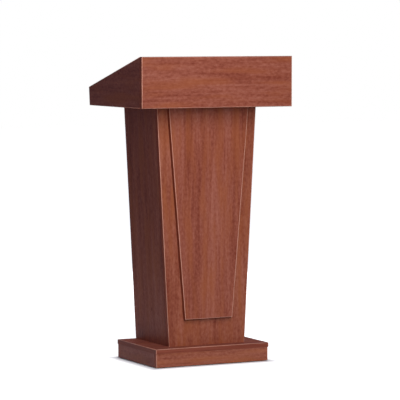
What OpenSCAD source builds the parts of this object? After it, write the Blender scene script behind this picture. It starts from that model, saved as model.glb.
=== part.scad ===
// Floor lectern of faced board: a tapered column on a low base carries a sloping desk.
// Millimetres. The origin is on the floor under the middle of the desk, +Z is up,
// -Y is the side that the audience sees, and the reader stands at +Y.

/* [Overall] */
// Height from the floor to the top of the desk front
overall_h = 1200; // [1100:5:1300]

/* [Boards and edging] */
// Thickness of the faced boards
board_t = 18; // [16:1:20]
// Thickness of the glued edging
edging_t = 3; // [2:0.5:3]
// Radius milled on the outer arrises of the edging
arris_r = 2.5; // [0.5:0.5:2.5]
// Seam where one strip of edging meets another
edging_seam = 0.1; // [0.05:0.05:0.3]

/* [Desk] */
// Width over the desk sides
desk_w = 650; // [600:5:720]
// Depth of the desk, over the front and the tops of the sides
desk_d = 490; // [450:5:540]
// Height of the desk front
desk_front_h = 197; // [180:1:220]
// Height of a desk side at its rear edge
desk_rear_h = 73; // [70:1:90]
// How much further back the top of a side's rear edge lies than its foot
desk_rake = 7; // [0:1:12]
// Depth of the reading board below the rim, square to the slope
reading_recess = 20; // [14:1:22]
// Side of the square cleats under the reading board
cleat_t = 20; // [16:1:22]
// Gap between a cleat's ends and the boards across the desk
cleat_end_gap = 45; // [35:1:70]

/* [Column] */
// Width of the column under the desk
column_top_w = 432; // [400:2:480]
// Width of the column on the base
column_foot_w = 332; // [300:2:380]
// Depth of the column
column_d = 300; // [260:2:340]

/* [Raised panel] */
// Width of the raised panel under the desk
panel_top_w = 347; // [300:1:380]
// Width of the raised panel at its foot
panel_foot_w = 206; // [180:1:260]
// Height of the raised panel's foot above the base
panel_foot_h = 104; // [60:1:160]

/* [Shelf] */
// Height of the shelf's underside above the base
shelf_h = 526; // [440:2:600]
// Gap at each end of the shelf
shelf_end_gap = 1; // [0.5:0.5:3]
// Gap between the shelf and the column front
shelf_front_gap = 2; // [1:0.5:5]
// How far the shelf stays back from the open side of the column
shelf_setback = 15; // [5:1:40]
// Holes in each row for the shelf pegs
peg_holes = 5; // [1:2:7]
// Pitch of the holes in a row
peg_pitch = 32; // [25:1:40]
// Diameter of a peg's pin
peg_d = 5; // [4:0.5:6]
// Length of a peg's pin inside the board
peg_l = 10; // [8:0.5:12]
// Distance from the front and rear edges of a column side to its rows of holes
peg_inset = 50; // [40:1:70]
// Length of a peg's plate under the shelf
peg_plate_l = 10; // [8:0.5:14]
// Width of a peg's plate
peg_plate_w = 14; // [10:0.5:18]
// Thickness of a peg's plate
peg_plate_t = 1.6; // [1:0.1:2.5]

/* [Base] */
// Width of the base's top board
base_w = 492; // [440:2:560]
// Depth of the base's top board
base_d = 352; // [330:2:400]
// Height of the base from the floor
base_h = 74; // [66:1:90]
// Thickness of the base's top board
base_top_t = 18; // [15:1:18]
// How far the top board laps over the front and side rails
base_lip = 2; // [0:0.5:6]
// Side of the square blocks in the base's corners
block_w = 40; // [34:1:50]
// Diameter of the glides
glide_d = 30; // [20:1:34]
// Thickness of the glides
glide_t = 3; // [3:0.5:6]
// Length of the nail that holds a glide
nail_l = 22; // [15:1:26]
// Diameter of that nail
nail_d = 2.5; // [2:0.1:3]
// Diameter of its head
nail_head_d = 6; // [5:0.5:8]

/* [Fixings] */
// Gap all round a dowel, pin, screw or cam in its hole
fit_gap = 0.1; // [0.05:0.05:0.2]
// Diameter of the dowels
dowel_d = 8; // [6:1:8]
// Length of a dowel in the board that it runs along
dowel_deep = 18; // [15:1:22]
// Length of a dowel in the board that it crosses
dowel_shallow = 10; // [8:1:12]
// Distance from a cam bolt to the dowel beside it
dowel_pitch = 32; // [25:1:40]
// Diameter of the cams
cam_d = 15; // [12:1:15]
// Height of the cams
cam_h = 12.5; // [11:0.5:13]
// Distance from a cam's centre to the joint
cam_inset = 24; // [24:1:34]
// Diameter of a cam bolt's thread
bolt_d = 6; // [5:0.5:6]
// Length of a cam bolt's thread
bolt_thread_l = 11; // [9:0.5:12]
// Diameter of the cap over a cam
cap_d = 17; // [16:0.5:20]
// Thickness of that cap
cap_t = 1.2; // [0.8:0.1:2]
// Diameter of the screws
screw_d = 4; // [3.5:0.5:5]
// Diameter of a screw's head
screw_head_d = 8; // [7:0.5:9]
// Length of the screws that join two boards
screw_l = 26; // [24:1:28]
// Length of the screws through the corner blocks
block_screw_l = 50; // [45:1:54]
// Distance from the end of a board to its first fixing
fixing_margin = 60; // [50:1:75]

/* [Hidden] */
$fn = 32;

face_c = [0.54, 0.29, 0.22];
side_c = [0.50, 0.26, 0.20];
edging_c = [0.60, 0.39, 0.34];
pine_c = [0.80, 0.65, 0.45];
beech_c = [0.85, 0.70, 0.50];
zinc_c = [0.65, 0.66, 0.68];
steel_c = [0.75, 0.75, 0.77];
cap_c = [0.35, 0.18, 0.13];
nylon_c = [0.12, 0.11, 0.10];

// Overshoot of cutters and clipping blocks
over = 5;
// The arris leaves a narrow land of the edging beside the board's face
edging_land = 0.3;
round_r = min(arris_r, edging_t - edging_land);

// Heights of the main joints
desk_z = overall_h - desk_front_h;
column_h = desk_z - base_h;
shelf_z = base_h + shelf_h;
panel_foot_z = base_h + panel_foot_h;
rail_z = glide_t;
rail_top_z = base_h - base_top_t;

// Planes of the desk, front to rear
desk_y0 = -desk_d / 2;
desk_inner_y = desk_y0 + board_t;
desk_foot_y = desk_d / 2 - desk_rake;
rear_rail_y = desk_foot_y - board_t;
desk_inner_x = desk_w / 2 - board_t;
bottom_top_z = desk_z + board_t;
rim_rear_z = desk_z + desk_rear_h;

// Planes of the column and the base, front to rear
column_y0 = -column_d / 2;
column_inner_y = column_y0 + board_t;
column_y1 = column_d / 2;
panel_y0 = column_y0 - board_t;
base_y1 = column_y1;
base_y0 = base_y1 - base_d;
rail_y0 = base_y0 + base_lip;
rail_inner_y0 = rail_y0 + board_t;
rail_inner_y1 = base_y1 - board_t;
rail_x = base_w / 2 - base_lip;
rail_inner_x = rail_x - board_t;

// Slope of the rim, and the rim's height over a point of the desk
slope = atan((overall_h - rim_rear_z) / (desk_d / 2 - desk_inner_y));
function rim_z(y) = overall_h - (y - desk_inner_y) * tan(slope);

// Lean of the column's sides, their outer and inner half-widths at a height,
// and their length along the lean
lean = atan((column_top_w - column_foot_w) / 2 / column_h);
function outer_x(z) = column_foot_w / 2 + (z - base_h) * tan(lean);
function inner_x(z) = outer_x(z) - board_t / cos(lean);
side_len = column_h / cos(lean);

// Evenly spread places from one to another
function spread(first, last, count) =
    [for (i = [0:count - 1]) first + (last - first) * i / (count - 1)];

// Outline of a panel with each edge moved in by its own depth
function inward(p, q) = let (d = (q - p) / norm(q - p)) [-d.y, d.x];
function meet(p, n, q, m) =
    let (c = n.x * m.y - n.y * m.x, a = n * p, b = m * q)
    [(a * m.y - b * n.y) / c, (n.x * b - m.x * a) / c];
function inset(pts, depths) =
    let (k = len(pts))
    [for (i = [0:k - 1])
        let (
            h = (i + k - 1) % k,
            j = (i + 1) % k,
            nh = inward(pts[h], pts[i]),
            ni = inward(pts[i], pts[j])
        )
        meet(pts[i] + nh * depths[h], nh, pts[i] + ni * depths[i], ni)];
function holds(list, i) = len([for (v = list) if (v == i) v]) > 0;
function band_depths(pts, bands, seam = 0) =
    [for (i = [0:len(pts) - 1]) holds(bands, i) ? edging_t + seam : 0];

// A board lies in its own XY plane. Edge i runs from point i to the next one,
// anticlockwise, and the edges in bands leave room for edging.
module board(pts, t, bands = []) {
    linear_extrude(t) polygon(inset(pts, band_depths(pts, bands)));
}

// Section of the edging: its outer face is on x = 0, with both arrises rounded
module edging_section(t) {
    difference() {
        square([edging_t + over, t]);
        for (m = [0, 1]) {
            translate([0, m * t]) mirror([0, m]) difference() {
                translate([-over, -over]) square(round_r + over);
                translate([round_r, round_r]) circle(round_r);
            }
        }
    }
}

// A bar of edging along +X, with its outer face on y = 0
module edging_bar(l, t) {
    rotate([90, 0, 90]) linear_extrude(l) edging_section(t);
}

// Strips of edging on a board. Those in through run the whole edge, and those in
// butted stop against their neighbours.
module edging(pts, t, through, butted = []) {
    k = len(pts);
    for (i = concat(through, butted)) {
        j = (i + 1) % k;
        ends = holds(butted, i) ? band_depths(pts, through, edging_seam)
            : [for (p = pts) 0];
        outer = inset(pts, [for (n = [0:k - 1]) n == i ? -over : ends[n]]);
        inner = inset(pts, [for (n = [0:k - 1]) n == i ? edging_t : ends[n]]);
        run = pts[j] - pts[i];
        intersection() {
            translate([0, 0, -over]) linear_extrude(t + 2 * over)
                polygon([outer[i], outer[j], inner[j], inner[i]]);
            translate(pts[i]) rotate(atan2(run.y, run.x)) translate([-over, 0, 0])
                edging_bar(norm(run) + 2 * over, t);
        }
    }
}

// Stands a board up across the object, with its front face on a plane of y
module facing_front(y, t) {
    translate([0, y + t, 0]) rotate([90, 0, 0]) children();
}

// Stands a board up along the object, from a plane of x outwards
module facing_side(x) {
    translate([x, 0, 0]) rotate([90, 0, 90]) children();
}

module both_sides() {
    children();
    mirror([1, 0, 0]) children();
}

function rectangle(x0, y0, x1, y1) = [[x0, y0], [x1, y0], [x1, y1], [x0, y1]];

// The right column side's own frame: its outer face is on x = 0 and its foot on
// z = 0, and it leans out with height
module side_frame() {
    translate([column_foot_w / 2, 0, base_h]) rotate([0, lean, 0]) children();
}

// Everything of the column that lies between the base and the desk
module column_slab() {
    translate([-desk_w, -desk_d, base_h]) cube([2 * desk_w, 2 * desk_d, column_h]);
}

// Fixings of one joint. The joint is the plane x = 0 of this frame: the board with the
// cam lies at +X with its face on z = board_t / 2, the other one at -X.
module dowel() {
    translate([-dowel_shallow, dowel_pitch, 0]) rotate([0, 90, 0])
        cylinder(d = dowel_d, h = dowel_shallow + dowel_deep);
}

module dowel_hole() {
    translate([-dowel_shallow - fit_gap, dowel_pitch, 0]) rotate([0, 90, 0])
        cylinder(d = dowel_d + 2 * fit_gap, h = dowel_shallow + dowel_deep + 2 * fit_gap);
}

// Cross slot of a cam
cam_slot_w = 1.6;
cam_slot_l = 8;
cam_slot_deep = 2;
// Shaft of a cam bolt, the head that the cam grips, and the room round that head
bolt_shaft_d = 4;
bolt_neck_l = 4;
bolt_clear = 0.4;
// Point of a screw, and the cross recess in its head
screw_tip_d = 1;
screw_slot_w = 1;
screw_slot_deep = 1.5;

module cam_bolt() {
    rotate([0, 90, 0]) {
        translate([0, 0, -bolt_thread_l]) cylinder(d = bolt_d, h = bolt_thread_l);
        cylinder(d = bolt_shaft_d, h = cam_inset - bolt_neck_l);
        translate([0, 0, cam_inset - bolt_neck_l]) cylinder(d = bolt_d, h = bolt_neck_l);
    }
}

module cam() {
    difference() {
        translate([cam_inset, 0, board_t / 2 - cam_h]) cylinder(d = cam_d, h = cam_h);
        rotate([0, 90, 0]) cylinder(d = bolt_d + 2 * bolt_clear, h = cam_inset + bolt_clear);
        for (a = [0, 90]) {
            translate([cam_inset, 0, board_t / 2]) rotate(a)
                cube([cam_slot_l, cam_slot_w, 2 * cam_slot_deep], center = true);
        }
    }
}

module cam_cap() {
    translate([cam_inset, 0, board_t / 2]) cylinder(d = cap_d, h = cap_t);
}

module cam_holes() {
    translate([cam_inset, 0, board_t / 2 - cam_h - fit_gap])
        cylinder(d = cam_d + 2 * fit_gap, h = cam_h + fit_gap + over);
    rotate([0, 90, 0]) {
        translate([0, 0, -bolt_thread_l - fit_gap])
            cylinder(d = bolt_d + 2 * fit_gap, h = bolt_thread_l + fit_gap + cam_inset);
    }
    dowel_hole();
}

// A screw goes down from the origin, where the top of its countersunk head is
module screw(l) {
    head_h = (screw_head_d - screw_d) / 2;
    difference() {
        union() {
            translate([0, 0, -head_h]) cylinder(d1 = screw_d, d2 = screw_head_d, h = head_h);
            translate([0, 0, screw_d - l]) cylinder(d = screw_d, h = l - screw_d);
            translate([0, 0, -l]) cylinder(d1 = screw_tip_d, d2 = screw_d, h = screw_d);
        }
        for (a = [0, 90]) {
            rotate(a) cube([screw_d, screw_slot_w, 2 * screw_slot_deep], center = true);
        }
    }
}

module screw_hole(l) {
    head_h = (screw_head_d - screw_d) / 2;
    wide = 2 * fit_gap;
    translate([0, 0, -head_h])
        cylinder(d1 = screw_d + wide, d2 = screw_head_d + wide, h = head_h);
    cylinder(d = screw_head_d + wide, h = over);
    translate([0, 0, -l - fit_gap]) cylinder(d = screw_d + wide, h = l + fit_gap);
}

// Joints of the desk, drawn for the right half: a side to the front, the bottom to a
// side, and the bottom to the front
desk_joint_h = 50;
desk_joint_rise = 70;
module at_desk_front_joints() {
    for (z = [desk_joint_h, desk_joint_h + desk_joint_rise]) {
        translate([desk_w / 2 - board_t / 2, desk_inner_y, desk_z + z])
            rotate([-90, 0, 90]) children();
    }
}

module at_desk_bottom_joints() {
    for (y = spread(desk_inner_y + fixing_margin, rear_rail_y - fixing_margin, 2)) {
        translate([desk_inner_x, y, desk_z + board_t / 2]) rotate([0, 180, 0]) children();
    }
    translate([desk_inner_x / 2, desk_inner_y, desk_z + board_t / 2])
        rotate([180, 0, 90]) children();
}

module at_desk_joints() {
    at_desk_front_joints() children();
    at_desk_bottom_joints() children();
}

// Dowels of the desk's rear rail, drawn for the right half
rear_dowels = 2;
module at_rear_rail_dowels() {
    rail_h = rim_rear_z - bottom_top_z;
    for (i = [1:rear_dowels]) {
        z = bottom_top_z + rail_h * i / (rear_dowels + 1);
        translate([desk_inner_x, rear_rail_y + board_t / 2 + dowel_pitch, z])
            rotate([0, 0, 180]) children();
    }
}

// Joints of the column, drawn for the right half: a side to the front, and the top and
// bottom boards to a side
column_joints = 3;
side_joint_margin = 120;
module at_column_front_joints() {
    side_frame() {
        for (z = spread(side_joint_margin, side_len - side_joint_margin, column_joints)) {
            translate([-board_t / 2, column_inner_y, z]) rotate([-90, 0, 90]) children();
        }
    }
}

module at_column_board_joints() {
    top_z = desk_z - board_t / 2;
    foot_z = base_h + board_t / 2;
    for (y = spread(column_inner_y + fixing_margin, column_y1 - fixing_margin, 2)) {
        translate([inner_x(top_z), y, top_z]) rotate([0, 0, 180]) children();
        translate([inner_x(foot_z), y, foot_z]) rotate([0, 180, 0]) children();
    }
}

module at_column_joints() {
    at_column_front_joints() children();
    at_column_board_joints() children();
}

// Screws up through the column's top board into the desk
desk_screw_x = 120;
desk_screw_y = 80;
module at_desk_screws() {
    for (x = [-1, 1], y = [-1, 1]) {
        translate([x * desk_screw_x, y * desk_screw_y, desk_z - board_t])
            rotate([180, 0, 0]) children();
    }
}

// Screws up through the base's top board into the column
column_screw_x = 80;
column_screw_y = 60;
module at_column_screws() {
    for (x = [-1, 1], y = [-1, 1]) {
        translate([x * column_screw_x, y * column_screw_y, rail_top_z])
            rotate([180, 0, 0]) children();
    }
}

// Screws from inside the column into the raised panel
panel_screw_x = 70;
panel_screw_rows = 3;
module at_panel_screws() {
    low = panel_foot_z + fixing_margin;
    high = desk_z - board_t - fixing_margin;
    for (x = [-1, 1], z = spread(low, high, panel_screw_rows)) {
        translate([x * panel_screw_x, column_inner_y, z]) rotate([-90, 0, 0]) children();
    }
}

// Frame of the desk's slope: its origin is where the rim meets the front, y runs down
// the slope and z is square to it
module slope_frame() {
    translate([0, desk_inner_y, overall_h]) rotate([-slope, 0, 0]) children();
}
cleat_x = desk_inner_x - cleat_t;
cleat_z = -reading_recess - board_t - cleat_t;
cleat_l = (rear_rail_y - desk_inner_y) / cos(slope) - 2 * cleat_end_gap;
cleat_screw_margin = 50;
reading_screw_margin = 90;

// Screws through a cleat into the desk side, and up into the reading board
module at_cleat_screws() {
    first = cleat_end_gap + cleat_screw_margin;
    last = cleat_end_gap + cleat_l - cleat_screw_margin;
    slope_frame() {
        for (y = spread(first, last, 2)) {
            translate([cleat_x, y, cleat_z + cleat_t / 2]) rotate([0, -90, 0]) children();
        }
    }
}

module at_reading_screws() {
    first = cleat_end_gap + reading_screw_margin;
    last = cleat_end_gap + cleat_l - reading_screw_margin;
    slope_frame() {
        for (y = spread(first, last, 2)) {
            translate([cleat_x + cleat_t / 2, y, cleat_z]) rotate([180, 0, 0]) children();
        }
    }
}

// A glide's nail is drawn from the top of the glide. Its head lies in a counterbore,
// clear of the floor.
nail_head_t = 1;
nail_head_z = nail_head_t - glide_t;

// Places under the base's corners, drawn for the right half
module at_blocks() {
    for (y = [rail_inner_y0, rail_inner_y1 - block_w]) {
        translate([rail_inner_x - block_w, y, rail_z]) children();
    }
}

// Screws through the blocks: low ones into the side rails, high ones into the rails
// across the base. Both pass above the nails of the glides.
block_screw_z = 27;
block_screw_rise = 13;
module at_block_screws() {
    for (y = [rail_inner_y0, rail_inner_y1 - block_w]) {
        translate([rail_inner_x - block_w, y + block_w / 2, rail_z + block_screw_z])
            rotate([0, -90, 0]) children();
    }
    high = rail_z + block_screw_z + block_screw_rise;
    x = rail_inner_x - block_w / 2;
    translate([x, rail_inner_y0 + block_w, high]) rotate([-90, 0, 0]) children();
    translate([x, rail_inner_y1 - block_w, high]) rotate([90, 0, 0]) children();
}

// Dowels of the base: up from the rails into the top board, and along the centre rail
rail_dowel_x = 120;
module at_rail_dowels() {
    up = [0, 90, 0];
    for (x = [-1, 1], y = [rail_y0 + board_t / 2, base_y1 - board_t / 2]) {
        translate([x * rail_dowel_x, y - dowel_pitch, rail_top_z]) rotate(up) children();
    }
    middle_y = (rail_inner_y0 + rail_inner_y1) / 2;
    for (x = [-1, 1]) {
        translate([x * (rail_x - board_t / 2), middle_y - dowel_pitch, rail_top_z])
            rotate(up) children();
    }
}

module at_centre_dowels() {
    rail_h = rail_top_z - rail_z;
    for (z = spread(rail_z + rail_h / 4, rail_top_z - rail_h / 4, 2)) {
        translate([0, rail_inner_y0, z - dowel_pitch]) rotate([90, 0, 90]) children();
        translate([0, rail_inner_y1, z - dowel_pitch]) rotate([90, 0, -90]) children();
    }
}

// Outlines of the banded panels
desk_front_pts = rectangle(-desk_w / 2, desk_z, desk_w / 2, overall_h);
desk_side_pts = [
    [desk_inner_y, desk_z], [desk_foot_y, desk_z],
    [desk_d / 2, rim_rear_z], [desk_inner_y, overall_h]
];
desk_bottom_pts = rectangle(-desk_inner_x, desk_inner_y, desk_inner_x, desk_foot_y);
rear_rail_pts = rectangle(-desk_inner_x, bottom_top_z, desk_inner_x, rim_rear_z);
column_front_pts = [
    [-column_foot_w / 2, base_h], [column_foot_w / 2, base_h],
    [column_top_w / 2, desk_z], [-column_top_w / 2, desk_z]
];
panel_pts = [
    [-panel_foot_w / 2, panel_foot_z], [panel_foot_w / 2, panel_foot_z],
    [panel_top_w / 2, desk_z], [-panel_top_w / 2, desk_z]
];
shelf_x = inner_x(shelf_z) - shelf_end_gap;
shelf_y0 = column_inner_y + shelf_front_gap;
shelf_y1 = column_y1 - shelf_setback;
shelf_pts = rectangle(-shelf_x, shelf_y0, shelf_x, shelf_y1);
base_top_pts = rectangle(-base_w / 2, base_y0, base_w / 2, base_y1);
front_rail_pts = rectangle(-rail_x, rail_z, rail_x, rail_top_z);
side_rail_pts = rectangle(rail_inner_y0, rail_z, base_y1, rail_top_z);

// Desk
module desk_front() {
    color(face_c) difference() {
        facing_front(desk_y0, board_t) board(desk_front_pts, board_t, [0, 1, 2, 3]);
        both_sides() at_desk_joints() cam_holes();
    }
}

module desk_front_edging() {
    color(edging_c) facing_front(desk_y0, board_t)
        edging(desk_front_pts, board_t, [1, 3], [0, 2]);
}

module desk_right_side() {
    color(side_c) difference() {
        facing_side(desk_inner_x) board(desk_side_pts, board_t, [0, 1, 2]);
        at_desk_joints() cam_holes();
        at_rear_rail_dowels() dowel_hole();
        at_cleat_screws() screw_hole(screw_l);
    }
}

module desk_left_side() {
    mirror([1, 0, 0]) desk_right_side();
}

module desk_right_edging() {
    color(edging_c) facing_side(desk_inner_x) edging(desk_side_pts, board_t, [1], [0, 2]);
}

module desk_left_edging() {
    mirror([1, 0, 0]) desk_right_edging();
}

module desk_bottom() {
    color(face_c) difference() {
        translate([0, 0, desk_z]) board(desk_bottom_pts, board_t, [2]);
        both_sides() at_desk_bottom_joints() cam_holes();
        at_desk_screws() screw_hole(screw_l);
    }
}

module desk_bottom_edging() {
    color(edging_c) translate([0, 0, desk_z]) edging(desk_bottom_pts, board_t, [2]);
}

module reading_board() {
    top = reading_recess / cos(slope);
    foot = (reading_recess + board_t) / cos(slope);
    color(face_c) difference() {
        translate([-desk_inner_x, 0, 0]) rotate([90, 0, 90]) linear_extrude(2 * desk_inner_x)
            polygon([
                [desk_inner_y, rim_z(desk_inner_y) - foot],
                [rear_rail_y, rim_z(rear_rail_y) - foot],
                [rear_rail_y, rim_z(rear_rail_y) - top],
                [desk_inner_y, rim_z(desk_inner_y) - top]
            ]);
        both_sides() at_reading_screws() screw_hole(screw_l);
    }
}

module desk_rear_rail() {
    color(face_c) difference() {
        facing_front(rear_rail_y, board_t) board(rear_rail_pts, board_t, [2]);
        both_sides() at_rear_rail_dowels() dowel_hole();
    }
}

module desk_rear_rail_edging() {
    color(edging_c) facing_front(rear_rail_y, board_t) edging(rear_rail_pts, board_t, [2]);
}

module right_reading_cleat() {
    color(pine_c) difference() {
        slope_frame() translate([cleat_x, cleat_end_gap, cleat_z])
            cube([cleat_t, cleat_l, cleat_t]);
        at_cleat_screws() screw_hole(screw_l);
        at_reading_screws() screw_hole(screw_l);
    }
}

module left_reading_cleat() {
    mirror([1, 0, 0]) right_reading_cleat();
}

module cleat_screws() {
    color(steel_c) both_sides() at_cleat_screws() screw(screw_l);
}

module reading_board_screws() {
    color(steel_c) both_sides() at_reading_screws() screw(screw_l);
}

module desk_dowels() {
    color(beech_c) both_sides() {
        at_desk_joints() dowel();
        at_rear_rail_dowels() dowel();
    }
}

module desk_cams() {
    color(zinc_c) both_sides() at_desk_joints() cam();
}

module desk_cam_bolts() {
    color(steel_c) both_sides() at_desk_joints() cam_bolt();
}

module desk_cam_caps() {
    color(cap_c) both_sides() at_desk_joints() cam_cap();
}

// Column
module column_front() {
    color(face_c) difference() {
        facing_front(column_y0, board_t) board(column_front_pts, board_t, [1, 3]);
        both_sides() at_column_front_joints() cam_holes();
        at_panel_screws() screw_hole(screw_l);
    }
}

module column_front_edging() {
    color(edging_c) facing_front(column_y0, board_t)
        edging(column_front_pts, board_t, [1, 3]);
}

module at_peg_rows() {
    for (y = [column_inner_y + peg_inset, column_y1 - peg_inset]) {
        translate([0, y, 0]) children();
    }
}

module column_right_side() {
    first = -floor(peg_holes / 2);
    color(side_c) difference() {
        intersection() {
            side_frame() translate([-board_t, column_inner_y, -board_t])
                cube([board_t, column_d - board_t - edging_t, side_len + 2 * board_t]);
            column_slab();
        }
        at_column_joints() cam_holes();
        at_peg_rows() for (i = [0:peg_holes - 1]) {
            z = shelf_z - peg_d / 2 + (first + i) * peg_pitch;
            translate([inner_x(z) - over, 0, z]) rotate([0, 90, 0])
                cylinder(d = peg_d + 2 * fit_gap, h = peg_l + over + fit_gap);
        }
    }
}

module column_left_side() {
    mirror([1, 0, 0]) column_right_side();
}

module column_side_edging() {
    color(edging_c) both_sides() intersection() {
        side_frame() intersection() {
            translate([-board_t - over, column_y1 - edging_t, -board_t])
                cube([board_t + 2 * over, edging_t + over, side_len + 2 * board_t]);
            translate([-board_t, column_y1, -board_t]) rotate([180, -90, 0])
                edging_bar(side_len + 2 * board_t, board_t);
        }
        column_slab();
    }
}

// A level board between the leaning sides, from one plane of y to another
module level_board(z, y0, y1) {
    low = inner_x(z);
    high = inner_x(z + board_t);
    facing_front(y0, y1 - y0) linear_extrude(y1 - y0)
        polygon([[-low, z], [low, z], [high, z + board_t], [-high, z + board_t]]);
}

module column_top_board() {
    color(face_c) difference() {
        level_board(desk_z - board_t, column_inner_y, column_y1 - edging_t);
        both_sides() at_column_board_joints() cam_holes();
        at_desk_screws() screw_hole(screw_l);
    }
}

module column_bottom_board() {
    color(face_c) difference() {
        level_board(base_h, column_inner_y, column_y1 - edging_t);
        both_sides() at_column_board_joints() cam_holes();
        at_column_screws() screw_hole(screw_l);
    }
}

module column_board_edging() {
    color(edging_c) for (z = [base_h, desk_z - board_t]) {
        intersection() {
            level_board(z, column_y1 - edging_t, column_y1 + over);
            translate([column_top_w, column_y1, z]) rotate(180)
                edging_bar(2 * column_top_w, board_t);
        }
    }
}

module shelf() {
    color(face_c) translate([0, 0, shelf_z]) board(shelf_pts, board_t, [2]);
}

module shelf_edging() {
    color(edging_c) translate([0, 0, shelf_z]) edging(shelf_pts, board_t, [2]);
}

module shelf_pegs() {
    wall_x = inner_x(shelf_z - peg_d);
    pin_x = inner_x(shelf_z - peg_d / 2);
    color(steel_c) both_sides() at_peg_rows() {
        translate([pin_x - peg_plate_l, 0, shelf_z - peg_d / 2]) rotate([0, 90, 0])
            cylinder(d = peg_d, h = peg_plate_l + peg_l);
        translate([wall_x - peg_plate_l, -peg_plate_w / 2, shelf_z - peg_plate_t])
            cube([peg_plate_l, peg_plate_w, peg_plate_t]);
    }
}

module column_dowels() {
    color(beech_c) both_sides() at_column_joints() dowel();
}

module column_cams() {
    color(zinc_c) both_sides() at_column_joints() cam();
}

module column_cam_bolts() {
    color(steel_c) both_sides() at_column_joints() cam_bolt();
}

module column_cam_caps() {
    color(cap_c) both_sides() at_column_front_joints() cam_cap();
}

module desk_screws() {
    color(steel_c) at_desk_screws() screw(screw_l);
}

module raised_panel() {
    color(face_c) difference() {
        facing_front(panel_y0, board_t) board(panel_pts, board_t, [0, 1, 3]);
        at_panel_screws() screw_hole(screw_l);
    }
}

module raised_panel_edging() {
    color(edging_c) facing_front(panel_y0, board_t)
        edging(panel_pts, board_t, [1, 3], [0]);
}

module raised_panel_screws() {
    color(steel_c) at_panel_screws() screw(screw_l);
}

// Base
module base_top() {
    color(face_c) difference() {
        translate([0, 0, rail_top_z]) board(base_top_pts, base_top_t, [0, 1, 2, 3]);
        at_rail_dowels() dowel_hole();
        at_column_screws() screw_hole(screw_l);
    }
}

module base_top_edging() {
    color(edging_c) translate([0, 0, rail_top_z])
        edging(base_top_pts, base_top_t, [1, 3], [0, 2]);
}

module base_front_rail() {
    color(face_c) difference() {
        facing_front(rail_y0, board_t) board(front_rail_pts, board_t, [1, 3]);
        at_rail_dowels() dowel_hole();
        at_centre_dowels() dowel_hole();
        both_sides() at_block_screws() screw_hole(block_screw_l);
    }
}

module base_right_rail() {
    color(side_c) difference() {
        facing_side(rail_inner_x) board(side_rail_pts, board_t, [1]);
        at_rail_dowels() dowel_hole();
        at_block_screws() screw_hole(block_screw_l);
    }
}

module base_left_rail() {
    mirror([1, 0, 0]) base_right_rail();
}

module base_rear_rail() {
    color(face_c) difference() {
        translate([-rail_inner_x, rail_inner_y1, rail_z])
            cube([2 * rail_inner_x, board_t, rail_top_z - rail_z]);
        at_rail_dowels() dowel_hole();
        at_centre_dowels() dowel_hole();
        both_sides() at_block_screws() screw_hole(block_screw_l);
    }
}

module base_centre_rail() {
    color(side_c) difference() {
        translate([-board_t / 2, rail_inner_y0, rail_z])
            cube([board_t, rail_inner_y1 - rail_inner_y0, rail_top_z - rail_z]);
        at_centre_dowels() dowel_hole();
    }
}

module base_rail_edging() {
    color(edging_c) {
        facing_front(rail_y0, board_t) edging(front_rail_pts, board_t, [1, 3]);
        both_sides() facing_side(rail_inner_x) edging(side_rail_pts, board_t, [1]);
    }
}

module base_blocks() {
    color(pine_c) both_sides() difference() {
        at_blocks() cube([block_w, block_w, rail_top_z - rail_z]);
        at_block_screws() screw_hole(block_screw_l);
        at_blocks() translate([block_w / 2, block_w / 2, nail_head_z - over])
            cylinder(d = nail_d + 2 * fit_gap, h = nail_l + fit_gap + over);
    }
}

module base_block_screws() {
    color(steel_c) both_sides() at_block_screws() screw(block_screw_l);
}

module base_dowels() {
    color(beech_c) {
        at_rail_dowels() dowel();
        at_centre_dowels() dowel();
    }
}

module column_screws() {
    color(steel_c) at_column_screws() screw(screw_l);
}

module glides() {
    chamfer = glide_t / 3;
    color(nylon_c) both_sides() at_blocks() translate([block_w / 2, block_w / 2, 0])
        difference() {
            translate([0, 0, -glide_t]) {
                cylinder(d1 = glide_d - 2 * chamfer, d2 = glide_d, h = chamfer);
                translate([0, 0, chamfer]) cylinder(d = glide_d, h = glide_t - chamfer);
            }
            translate([0, 0, -glide_t - over])
                cylinder(d = nail_d + 2 * fit_gap, h = glide_t + 2 * over);
            translate([0, 0, nail_head_z + nail_head_t - over])
                cylinder(d = nail_head_d + 2 * fit_gap, h = over);
        }
}

module glide_nails() {
    color(steel_c) both_sides() at_blocks()
        translate([block_w / 2, block_w / 2, nail_head_z]) {
            cylinder(d = nail_head_d, h = nail_head_t);
            translate([0, 0, nail_head_t]) cylinder(d = nail_d, h = nail_l - nail_head_t);
        }
}

desk_front();
desk_front_edging();
desk_left_side();
desk_right_side();
desk_left_edging();
desk_right_edging();
desk_bottom();
desk_bottom_edging();
reading_board();
desk_rear_rail();
desk_rear_rail_edging();
left_reading_cleat();
right_reading_cleat();
cleat_screws();
reading_board_screws();
desk_dowels();
desk_cams();
desk_cam_bolts();
desk_cam_caps();
column_front();
column_front_edging();
column_left_side();
column_right_side();
column_side_edging();
column_top_board();
column_bottom_board();
column_board_edging();
shelf();
shelf_edging();
shelf_pegs();
column_dowels();
column_cams();
column_cam_bolts();
column_cam_caps();
desk_screws();
raised_panel();
raised_panel_edging();
raised_panel_screws();
base_top();
base_top_edging();
base_front_rail();
base_left_rail();
base_right_rail();
base_rear_rail();
base_centre_rail();
base_rail_edging();
base_blocks();
base_block_screws();
base_dowels();
column_screws();
glides();
glide_nails();
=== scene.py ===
# %% [markdown]
# A floor lectern of faced board, dressed over its measured model. The model already holds every
# board, strip and screw at its true size. This script gives each one its finish, models the
# edging again with its milled corners, and the caps, pegs and glides with their rounded ones,
# and sets up the camera, the light and the floor.

# %% Load the measured model
import math

import bmesh
import bpy
import numpy
from mathutils import Matrix, Vector


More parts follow.
